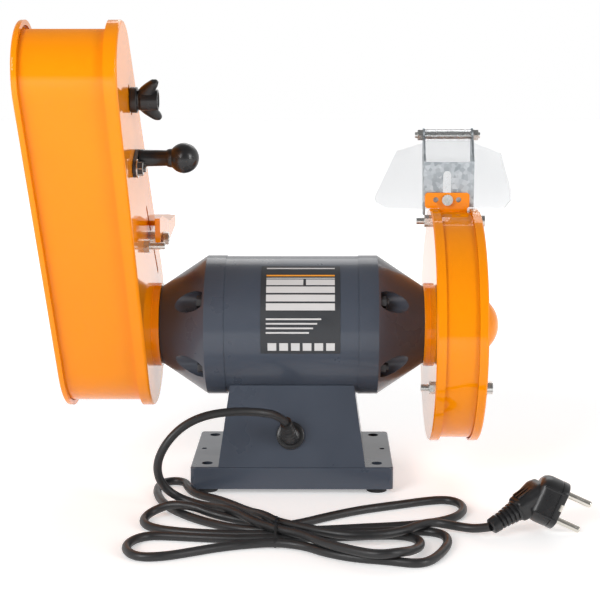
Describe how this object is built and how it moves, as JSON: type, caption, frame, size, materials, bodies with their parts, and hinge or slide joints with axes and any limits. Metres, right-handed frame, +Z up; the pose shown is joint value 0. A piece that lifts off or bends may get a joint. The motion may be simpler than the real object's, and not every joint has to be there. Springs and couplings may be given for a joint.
{
  "type": "bench grinder",
  "caption": "Bench grinder with a guarded grinding wheel on one end of the motor shaft, a swing-up belt grinder arm on the other, a clear eye shield and a mains lead.",
  "frame": {"origin": "centre of the four base mounting holes, on the floor under the feet", "axes": "+X along the motor shaft towards the belt arm, +Z up, operator at -Y"},
  "size_m": [0.3837, 0.33, 0.3459],
  "materials": {
    "grey_paint": "blue-grey gloss enamel",
    "orange_paint": "orange gloss enamel",
    "black_steel": "black satin enamel",
    "rubber": "matte black",
    "capacitor_case": "off-white",
    "laminated_steel": "stacked laminations, varnished",
    "copper": "varnished copper wire",
    "zinc_fasteners": "bright zinc plate",
    "label": "printed foil with blank fields",
    "steel": "ground steel",
    "galvanised_sheet": "galvanised, faint spangle",
    "black_plastic": "moulded black",
    "cord_jacket": "black flexible jacket",
    "nickel_pins": "nickel plated",
    "grinding_stone": "grey aluminium oxide grit",
    "blotter_paper": "card",
    "aluminium_wheel": "turned",
    "abrasive_cloth": "brown abrasive cloth",
    "clear_plastic": "clear polycarbonate",
    "green_plastic": "green",
    "red_plastic": "red"
  },
  "bodies": {
    "frame": {"base_pedestal": "grey_paint", "base_cover": "black_steel", "rubber_feet": "rubber", "capacitor": "capacitor_case", "motor_tube": "grey_paint", "stator_core": "laminated_steel", "stator_windings": "copper", "tie_bolts": "black_steel", "end_shield_belt_side": "grey_paint", "end_shield_wheel_side": "grey_paint", "rating_plate": "label", "bearing_outer_rings": "steel", "guard_inner_plate": "orange_paint", "guard_drum": "orange_paint", "guard_outer_cover": "orange_paint", "guard_bolts": "zinc_fasteners", "guard_nuts": "zinc_fasteners", "shield_tab": "orange_paint", "clamp_screws": "zinc_fasteners", "switch_housing": "black_plastic", "cord_gland": "black_plastic", "cord_lead": "cord_jacket", "cord_hank": "cord_jacket", "cord_tail": "cord_jacket", "cord_tie": "black_plastic", "plug_body": "black_plastic", "plug_pins": "nickel_pins"},
    "rotor": {"rotor_shaft": "steel", "rotor_core": "laminated_steel", "cooling_fan": "black_plastic", "bearing_inner_rings": "steel", "bearing_balls": "steel", "grinding_wheel": "grinding_stone", "wheel_blotters": "blotter_paper", "wheel_flanges": "steel", "wheel_nut": "zinc_fasteners", "drive_wheel": "aluminium_wheel", "drive_wheel_nut": "zinc_fasteners"},
    "belt_arm": {"arm_inner_plate": "orange_paint", "arm_side_wall": "orange_paint", "arm_outer_cover": "orange_paint", "arm_cover_posts": "zinc_fasteners", "sanding_belt": "abrasive_cloth", "belt_platen": "black_steel", "arm_fasteners": "zinc_fasteners", "tension_spring": "steel"},
    "idler_slide": {"idler_carriage": "galvanised_sheet", "idler_axle": "steel"},
    "idler": {"idler_roller": "aluminium_wheel"},
    "tension_handle": {"tension_lever": "black_steel", "lever_grip": "black_plastic"},
    "tracking": {"tracking_knob": "black_plastic"},
    "belt_rest": {"table_bracket": "orange_paint", "belt_table": "orange_paint"},
    "shield_mount": {"shield_bracket": "galvanised_sheet", "shield_hinge_bolt": "zinc_fasteners"},
    "shield": {"eye_shield": "clear_plastic"},
    "wheel_rest": {"wheel_tool_rest": "black_steel"},
    "start": {"start_button": "green_plastic"},
    "stop": {"stop_button": "red_plastic"}
  },
  "joints": [
    {"name": "shaft_spin", "type": "hinge", "parent": "frame", "child": "rotor", "pos_m": [0, 0, 0.12], "axis": [1, 0, 0], "continuous": true},
    {"name": "arm_tilt", "type": "hinge", "parent": "frame", "child": "belt_arm", "pos_m": [0.14, 0, 0.12], "axis": [1, 0, 0], "range_deg": [-54, 36]},
    {"name": "tension_travel", "type": "slide", "parent": "belt_arm", "child": "idler_slide", "axis": [0, 0.5878, 0.809], "range_m": [-0.008, 0], "stiffness_N_per_m": 2500, "springref_m": 0.004, "deforming": ["tension_spring"]},
    {"name": "tension_turn", "type": "hinge", "parent": "belt_arm", "child": "tension_handle", "pos_m": [0.1, 0.10787, 0.24805], "axis": [1, 0, 0], "range_deg": [-60, 0]},
    {"name": "idler_spin", "type": "hinge", "parent": "idler_slide", "child": "idler", "pos_m": [0.141, 0.13872, 0.31093], "axis": [1, 0, 0], "continuous": true},
    {"name": "tracking_turn", "type": "hinge", "parent": "idler_slide", "child": "tracking", "pos_m": [0.095, 0.11417, 0.29415], "axis": [1, 0, 0], "range_deg": [-180, 180]},
    {"name": "belt_rest_adjust", "type": "slide", "parent": "belt_arm", "child": "belt_rest", "axis": [0, -1, 0], "range_m": [0, 0.01]},
    {"name": "shield_height", "type": "slide", "parent": "frame", "child": "shield_mount", "axis": [0, 0, 1], "range_m": [0, 0.0045]},
    {"name": "shield_flip", "type": "hinge", "parent": "shield_mount", "child": "shield", "pos_m": [-0.119, -0.03, 0.263], "axis": [-1, 0, 0], "range_deg": [0, 100]},
    {"name": "wheel_rest_adjust", "type": "slide", "parent": "frame", "child": "wheel_rest", "axis": [0, -1, 0], "range_m": [0, 0.008]},
    {"name": "start_press", "type": "slide", "parent": "frame", "child": "start", "axis": [0, 0.9766, -0.2152], "range_m": [0, 0.0025], "stiffness_N_per_m": 400, "springref_m": -0.002},
    {"name": "stop_press", "type": "slide", "parent": "frame", "child": "stop", "axis": [0, 0.9766, -0.2152], "range_m": [0, 0.0025], "stiffness_N_per_m": 400, "springref_m": -0.002}
  ],
  "couplings": [
    {"joint": "tension_turn", "follows": "tension_travel", "rad_per_m": 130},
    {"joint": "idler_spin", "follows": "shaft_spin", "ratio": 2}
  ]
}
